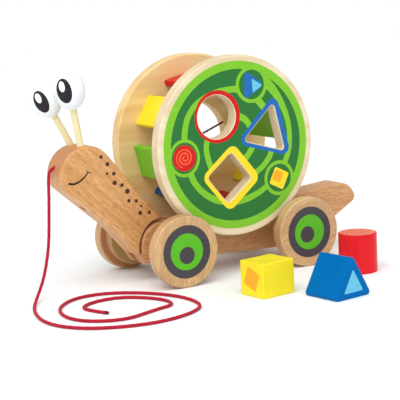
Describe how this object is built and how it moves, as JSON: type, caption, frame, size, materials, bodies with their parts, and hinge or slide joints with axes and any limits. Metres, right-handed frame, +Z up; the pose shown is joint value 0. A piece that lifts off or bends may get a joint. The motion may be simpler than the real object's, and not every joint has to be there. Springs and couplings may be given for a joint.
{
  "type": "pull along toy",
  "caption": "Wooden pull-along snail with a rolling shape-sorter drum for a shell, nodding head on a knuckle joint, stalk eyes, pull cord and loose sorting blocks.",
  "frame": {"origin": "bottom centre of the box round the snail and its three blocks, without the free cord, on the floor", "axes": "-X towards the snail's nose, +X towards its tail, -Y to the snail's left, the side with the sorting holes, +Z up"},
  "size_m": [0.3957, 0.2636, 0.2131],
  "materials": {
    "beech": "satin",
    "turned_beech": "satin",
    "plywood": "satin",
    "painted_red": "gloss",
    "painted_yellow": "gloss",
    "painted_green": "gloss",
    "painted_blue": "gloss",
    "painted_white": "gloss",
    "pale_dowel": "satin",
    "block_red": "gloss",
    "block_yellow": "gloss",
    "block_blue": "gloss",
    "cord_crimson": "matte",
    "elastic_red": "matte"
  },
  "bodies": {
    "snail_body": {"body_plank": "beech", "pull_cord_floor": "cord_crimson"},
    "head": {"head_neck": "beech", "antenna_left": "pale_dowel", "antenna_right": "pale_dowel", "eye_left": "painted_white", "eye_right": "painted_white", "cord_knot": "cord_crimson", "pull_cord_core": "cord_crimson", "pull_cord_drop": "cord_crimson"},
    "front_axle_set": {"front_axle": "turned_beech", "front_wheel_left": "turned_beech", "front_wheel_right": "turned_beech", "front_roller_left": "turned_beech", "front_roller_right": "turned_beech", "front_spacer_left": "turned_beech", "front_spacer_right": "turned_beech"},
    "rear_axle_set": {"rear_axle": "turned_beech", "rear_wheel_left": "turned_beech", "rear_wheel_right": "turned_beech", "rear_roller_left": "turned_beech", "rear_roller_right": "turned_beech", "rear_spacer_left": "turned_beech", "rear_spacer_right": "turned_beech"},
    "shell": {"shell_disc_left": "plywood", "shell_disc_right": "plywood", "slat_1_red": "painted_red", "slat_2_yellow": "painted_yellow", "slat_3_green": "painted_green", "slat_4_blue": "painted_blue", "slat_5_red": "painted_red", "slat_6_yellow": "painted_yellow", "slat_7_green": "painted_green", "slat_8_blue": "painted_blue", "slat_pins": "turned_beech", "elastic_cord": "elastic_red"},
    "square_block": {"block_square": "block_yellow"},
    "triangle_block": {"block_triangle": "block_blue"},
    "round_block": {"block_round": "block_red"}
  },
  "joints": [
    {"name": "head_nod", "type": "hinge", "parent": "snail_body", "child": "head", "pos_m": [-0.05994, 0.06826, 0.0345], "axis": [0, 1, 0], "range_deg": [0, 22]},
    {"name": "shell_spin", "type": "hinge", "parent": "snail_body", "child": "shell", "pos_m": [0.01006, 0.06826, 0.12612], "axis": [0, 1, 0], "continuous": true},
    {"name": "front_axle_spin", "type": "hinge", "parent": "snail_body", "child": "front_axle_set", "pos_m": [-0.05994, 0.06826, 0.0345], "axis": [0, 1, 0], "continuous": true},
    {"name": "rear_axle_spin", "type": "hinge", "parent": "snail_body", "child": "rear_axle_set", "pos_m": [0.08006, 0.06826, 0.0345], "axis": [0, 1, 0], "continuous": true},
    {"name": "square_block_lift", "type": "slide", "parent": "snail_body", "child": "square_block", "axis": [0, 0, 1], "range_m": [0, 0.12]},
    {"name": "triangle_block_lift", "type": "slide", "parent": "snail_body", "child": "triangle_block", "axis": [0, 0, 1], "range_m": [0, 0.12]},
    {"name": "round_block_lift", "type": "slide", "parent": "snail_body", "child": "round_block", "axis": [0, 0, 1], "range_m": [0, 0.12]}
  ],
  "couplings": [
    {"joint": "front_axle_spin", "follows": "shell_spin", "ratio": -3.1071},
    {"joint": "rear_axle_spin", "follows": "shell_spin", "ratio": -3.1071}
  ]
}
